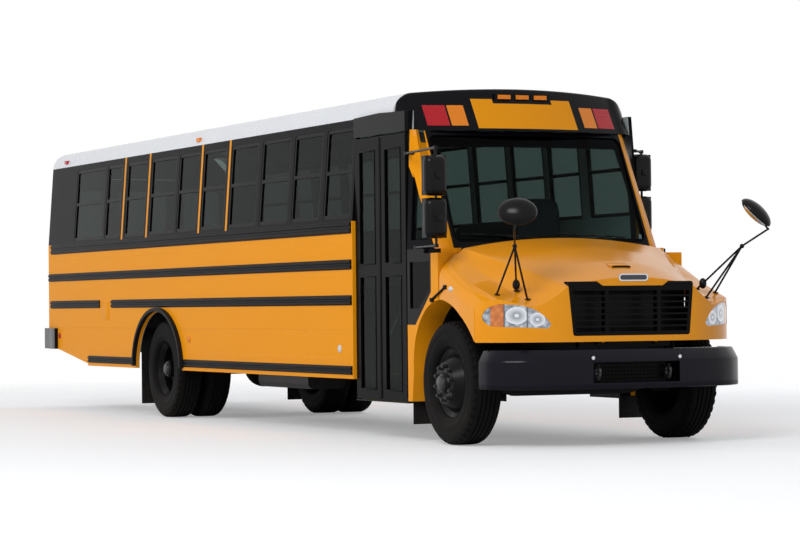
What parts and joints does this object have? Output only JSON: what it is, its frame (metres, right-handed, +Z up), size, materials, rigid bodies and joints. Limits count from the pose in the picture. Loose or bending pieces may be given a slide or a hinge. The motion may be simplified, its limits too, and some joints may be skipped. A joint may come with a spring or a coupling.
{
  "type": "school bus",
  "caption": "Conventional school bus with a tilting front hood, two-leaf entrance door, rear door, roof hatch, stop arm and rows of bench seats.",
  "frame": {"origin": "on the ground under the middle of the whole bus, midway between its sides", "axes": "+X forward along the bus, +Y to the driver's side, +Z up"},
  "size_m": [12.4932, 2.86, 3.1423],
  "materials": {
    "body_yellow": "glossy school bus yellow enamel",
    "roof_white": "semi-gloss white enamel",
    "trim_black": "satin black enamel",
    "chassis_black": "matt black chassis paint",
    "wheel_paint": "satin black wheel paint",
    "tinted_glass": "dark tinted safety glass",
    "clear_glass": "lightly tinted safety glass",
    "soft_rubber": "black moulded rubber",
    "tyre_rubber": "black tyre rubber",
    "seat_vinyl": "dark grey seat vinyl",
    "dash_plastic": "dark grained plastic",
    "lamp_red": "red lens",
    "lamp_clear": "clear lens over a bright reflector",
    "mirror_black": "black mirror housing",
    "engine_iron": "cast iron and grey paint",
    "steel_grey": "plain spring and axle steel",
    "floor_rubber": "ribbed black floor covering"
  },
  "bodies": {
    "root": {"body_side_left": "body_yellow", "body_side_right": "body_yellow", "bumpers": "trim_black", "cab_front": "body_yellow", "cab_glass": "clear_glass", "chassis_frame": "chassis_black", "dashboard": "dash_plastic", "driver_seat": "seat_vinyl", "engine_block": "engine_iron", "exhaust": "steel_grey", "floor": "floor_rubber", "front_axle": "chassis_black", "front_cap": "trim_black", "fuel_tank": "chassis_black", "leaf_springs": "steel_grey", "marker_lamps": "lamp_red", "passenger_seats": "seat_vinyl", "rear_axle": "chassis_black", "rear_lamps": "lamp_red", "rear_wall": "body_yellow", "roof": "roof_white", "rub_rails": "trim_black", "rubber_guards": "soft_rubber", "side_glass": "tinted_glass", "side_mirrors": "mirror_black", "window_sashes": "trim_black"},
    "hood": {"hood": "body_yellow", "grille": "trim_black", "headlamps": "lamp_clear", "crossview_mirrors": "mirror_black"},
    "door_front": {"door_leaf_front": "trim_black", "door_glass_front": "tinted_glass"},
    "door_rear": {"door_leaf_rear": "trim_black", "door_glass_rear": "tinted_glass"},
    "rear_door": {"rear_door": "body_yellow", "rear_door_glass": "tinted_glass"},
    "hatch_rear": {"roof_hatch_rear": "roof_white"},
    "stop_arm": {"stop_arm": "body_yellow"},
    "knuckle_right": {"knuckle_right": "chassis_black"},
    "knuckle_left": {"knuckle_left": "chassis_black"},
    "front_wheel_right": {"tyre_front_right": "tyre_rubber", "wheel_front_right": "wheel_paint"},
    "front_wheel_left": {"tyre_front_left": "tyre_rubber", "wheel_front_left": "wheel_paint"},
    "rear_wheels_right": {"tyres_rear_right": "tyre_rubber", "wheels_rear_right": "wheel_paint"},
    "rear_wheels_left": {"tyres_rear_left": "tyre_rubber", "wheels_rear_left": "wheel_paint"}
  },
  "joints": [
    {"name": "hood_tilt", "type": "hinge", "parent": "root", "child": "hood", "pos_m": [5.958, 0, 0.878], "axis": [0, 1, 0], "range_deg": [0, 65]},
    {"name": "door_front_swing", "type": "hinge", "parent": "root", "child": "door_front", "pos_m": [4.157, -1.1725, 1.5], "axis": [0, 0, 1], "range_deg": [0, 90]},
    {"name": "door_rear_swing", "type": "hinge", "parent": "root", "child": "door_rear", "pos_m": [3.094, -1.1725, 1.5], "axis": [0, 0, -1], "range_deg": [0, 90]},
    {"name": "rear_door_swing", "type": "hinge", "parent": "root", "child": "rear_door", "pos_m": [-6.1593, -0.42, 1.85], "axis": [0, 0, 1], "range_deg": [0, 110]},
    {"name": "hatch_rear_lift", "type": "hinge", "parent": "root", "child": "hatch_rear", "pos_m": [-3.852, 0, 3.092], "axis": [0, 1, 0], "range_deg": [0, 60]},
    {"name": "stop_arm_swing", "type": "hinge", "parent": "root", "child": "stop_arm", "pos_m": [3.013, 1.253, 1.72], "axis": [0, 0, -1], "range_deg": [0, 90]},
    {"name": "steer_right", "type": "hinge", "parent": "root", "child": "knuckle_right", "pos_m": [4.923, -0.88, 0.522], "axis": [0, 0, 1], "range_deg": [-40, 40]},
    {"name": "steer_left", "type": "hinge", "parent": "root", "child": "knuckle_left", "pos_m": [4.923, 0.88, 0.522], "axis": [0, 0, 1], "range_deg": [-40, 40]},
    {"name": "front_wheel_right_spin", "type": "hinge", "parent": "knuckle_right", "child": "front_wheel_right", "pos_m": [4.923, -1.032, 0.522], "axis": [0, 1, 0], "continuous": true},
    {"name": "front_wheel_left_spin", "type": "hinge", "parent": "knuckle_left", "child": "front_wheel_left", "pos_m": [4.923, 1.032, 0.522], "axis": [0, 1, 0], "continuous": true},
    {"name": "rear_wheels_right_spin", "type": "hinge", "parent": "root", "child": "rear_wheels_right", "pos_m": [-2.164, -1.032, 0.522], "axis": [0, 1, 0], "continuous": true},
    {"name": "rear_wheels_left_spin", "type": "hinge", "parent": "root", "child": "rear_wheels_left", "pos_m": [-2.164, 1.032, 0.522], "axis": [0, 1, 0], "continuous": true}
  ],
  "couplings": [
    {"joint": "steer_left", "follows": "steer_right", "ratio": 1}
  ]
}
